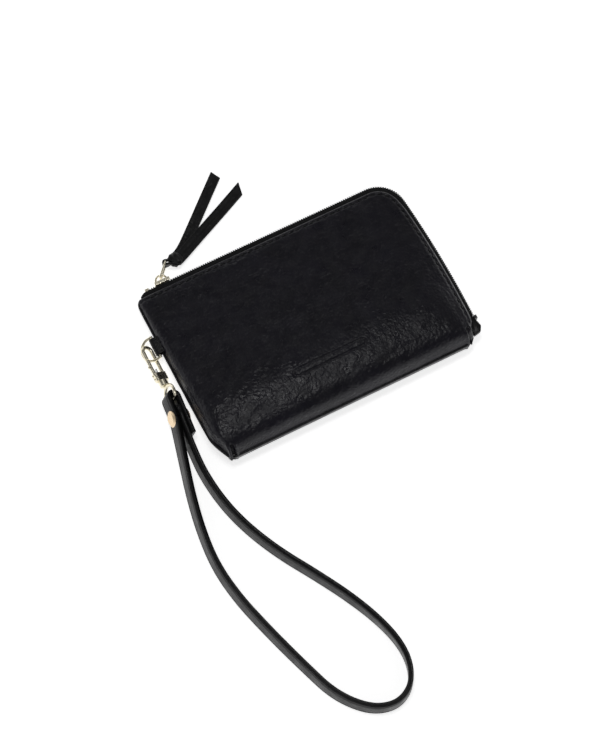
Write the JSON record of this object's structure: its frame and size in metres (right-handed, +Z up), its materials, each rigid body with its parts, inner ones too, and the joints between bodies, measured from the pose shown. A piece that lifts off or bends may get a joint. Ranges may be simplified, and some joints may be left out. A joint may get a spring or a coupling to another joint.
{
  "type": "wristlet wallet",
  "caption": "Small black leather wristlet wallet with a zip round two sides, a box base and a wrist strap on a snap hook.",
  "frame": {"origin": "on the flat face of the back panel, near its middle", "axes": "+Z up out of the front panel, +X along the zipped top edge, +Y towards that edge"},
  "size_m": [0.1798, 0.3005, 0.0221],
  "materials": {
    "black_leather": "satin",
    "black_strap": "satin",
    "thread": "matte",
    "zip_tape": "matte",
    "zip_coil": "satin",
    "lining_cloth": "matte",
    "pale_gold": "polished",
    "warm_gold": "satin",
    "spring_steel": "satin"
  },
  "bodies": {
    "pouch": {"front_panel": "black_leather", "back_panel": "black_leather", "front_lining": "lining_cloth", "back_lining": "lining_cloth", "zip_tape_front": "zip_tape", "zip_tape_back": "zip_tape", "zip_coil_front": "zip_coil", "zip_coil_back": "zip_coil", "zip_top_stops": "pale_gold", "zip_bottom_stop": "zip_coil", "zip_end_tab": "black_leather", "front_edge_stitching": "thread", "side_seam": "black_leather", "bottom_seam": "black_leather", "left_corner_seam": "black_leather", "right_corner_seam": "black_leather", "d_ring_tab": "black_leather", "tab_stitches": "thread"},
    "ring": {"d_ring": "pale_gold"},
    "hook": {"snap_hook_body": "pale_gold", "gate_pin": "spring_steel", "gate_spring": "spring_steel"},
    "gate": {"hook_gate": "pale_gold"},
    "eye": {"swivel_eye": "pale_gold"},
    "strap": {"wrist_strap": "black_strap", "strap_rivet": "warm_gold", "rivet_back_cap": "warm_gold"},
    "slider": {"slider_body": "pale_gold", "slider_bridge": "pale_gold"},
    "link": {"pull_link": "pale_gold"},
    "pull": {"zip_pull": "black_strap"}
  },
  "joints": [
    {"name": "ring_swing", "type": "hinge", "parent": "pouch", "child": "ring", "pos_m": [-0.0795, 0.02, 0.0066], "axis": [0, 1, 0], "range_deg": [0, 36]},
    {"name": "hook_rock", "type": "hinge", "parent": "ring", "child": "hook", "pos_m": [-0.08352, 0.01431, 0.00437], "axis": [-0.8746, 0, -0.4848], "range_deg": [0, 32]},
    {"name": "gate_press", "type": "hinge", "parent": "hook", "child": "gate", "pos_m": [-0.08661, 0.005, 0.00632], "axis": [-0.6157, 0, -0.788], "range_deg": [0, 6], "stiffness_Nm_per_rad": 0.002},
    {"name": "eye_swivel", "type": "hinge", "parent": "hook", "child": "eye", "pos_m": [-0.0844, 0.002, 0.0046], "axis": [0, 1, 0], "range_deg": [-20, 15]},
    {"name": "strap_swing", "type": "hinge", "parent": "eye", "child": "strap", "pos_m": [-0.0849, -0.0098, 0.0066], "axis": [0.3895, -0.0312, 0.9205], "range_deg": [-60, 2]},
    {"name": "slider_run", "type": "slide", "parent": "pouch", "child": "slider", "axis": [1, 0, 0], "range_m": [0, 0.112]},
    {"name": "link_turn", "type": "hinge", "parent": "slider", "child": "link", "pos_m": [-0.0606, 0.05435, 0.0046], "axis": [0, 0, 1], "range_deg": [0, 105]},
    {"name": "pull_turn", "type": "hinge", "parent": "link", "child": "pull", "pos_m": [-0.05446, 0.06093, 0.0046], "axis": [0, 0, 1], "range_deg": [-12, 30]}
  ]
}
